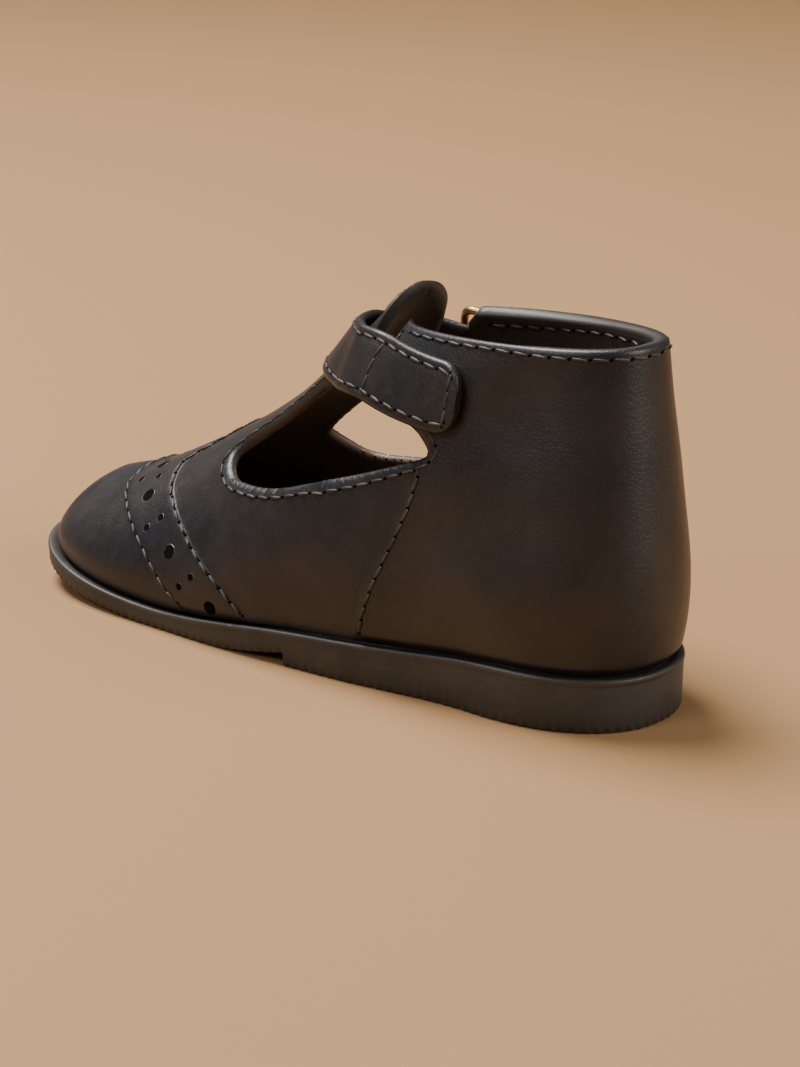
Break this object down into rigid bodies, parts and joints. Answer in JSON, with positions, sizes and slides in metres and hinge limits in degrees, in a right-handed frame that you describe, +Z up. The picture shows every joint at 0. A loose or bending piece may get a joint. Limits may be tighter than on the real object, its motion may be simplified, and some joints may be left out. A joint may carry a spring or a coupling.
{
  "type": "toddler t-bar shoe",
  "caption": "Toddler's closed-toe T-bar shoe with a high heel cup, open sides, a T-bar down the instep, a buckled ankle strap and a low heeled sole.",
  "frame": {"origin": "on the ground, in the middle of the heel's flat resting face", "axes": "+X towards the toe, +Y towards the inner (medial) side, +Z up from the ground"},
  "size_m": [0.1403, 0.0585, 0.0695],
  "materials": {
    "sole_rubber": "matt dark composition sole with fine scratches",
    "insole_leather": "plain dark sock leather",
    "upper_leather": "smooth near-black leather with a soft gloss",
    "strap_leather": "smooth near-black leather with a soft gloss",
    "buckle_brass": "worn gilt"
  },
  "bodies": {
    "root": {"outsole": "sole_rubber", "insole": "insole_leather", "upper": "upper_leather", "ankle_strap": "strap_leather", "buckle_tab": "strap_leather", "buckle_frame": "buckle_brass", "buckle_prong": "buckle_brass"}
  },
  "joints": []
}
